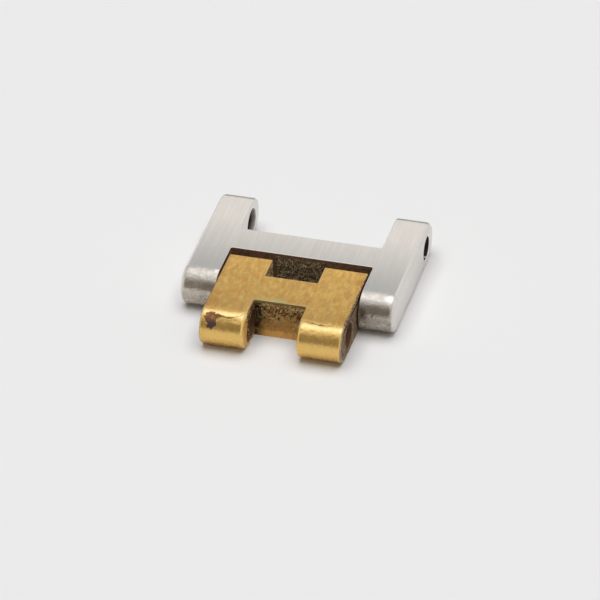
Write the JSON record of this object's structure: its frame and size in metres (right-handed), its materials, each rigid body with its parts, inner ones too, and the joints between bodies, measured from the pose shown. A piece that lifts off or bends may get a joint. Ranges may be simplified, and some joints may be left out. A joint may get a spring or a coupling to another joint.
{
  "type": "watch bracelet link",
  "caption": "Two-tone watch bracelet link: a brushed steel outer link shaped like an H, with a notched gold-capped centre link hinged between its front arms.",
  "frame": {"origin": "on the axis of the rear bore, midway between the two rear arms", "axes": "+X along the pins, +Y towards the bored rear arms, -Y towards the centre link's knuckles, +Z out of the show face"},
  "size_m": [0.0142, 0.0152, 0.0028],
  "materials": {
    "outer_steel": "top brushed along the bracelet, sides and rounded front ends polished",
    "pin_steel": "drawn wire, end dressed flush",
    "core_metal": "dull tarnished base metal",
    "cap_gold": "worn satin gold, polished on the knuckles"
  },
  "bodies": {
    "outer": {"outer_link": "outer_steel", "hinge_pin": "pin_steel"},
    "centre": {"centre_core": "core_metal", "centre_cap": "cap_gold"}
  },
  "joints": [
    {"name": "centre_hinge", "type": "hinge", "parent": "outer", "child": "centre", "pos_m": [0, -0.00704, 0], "axis": [1, 0, 0], "range_deg": [-110, 110]}
  ]
}
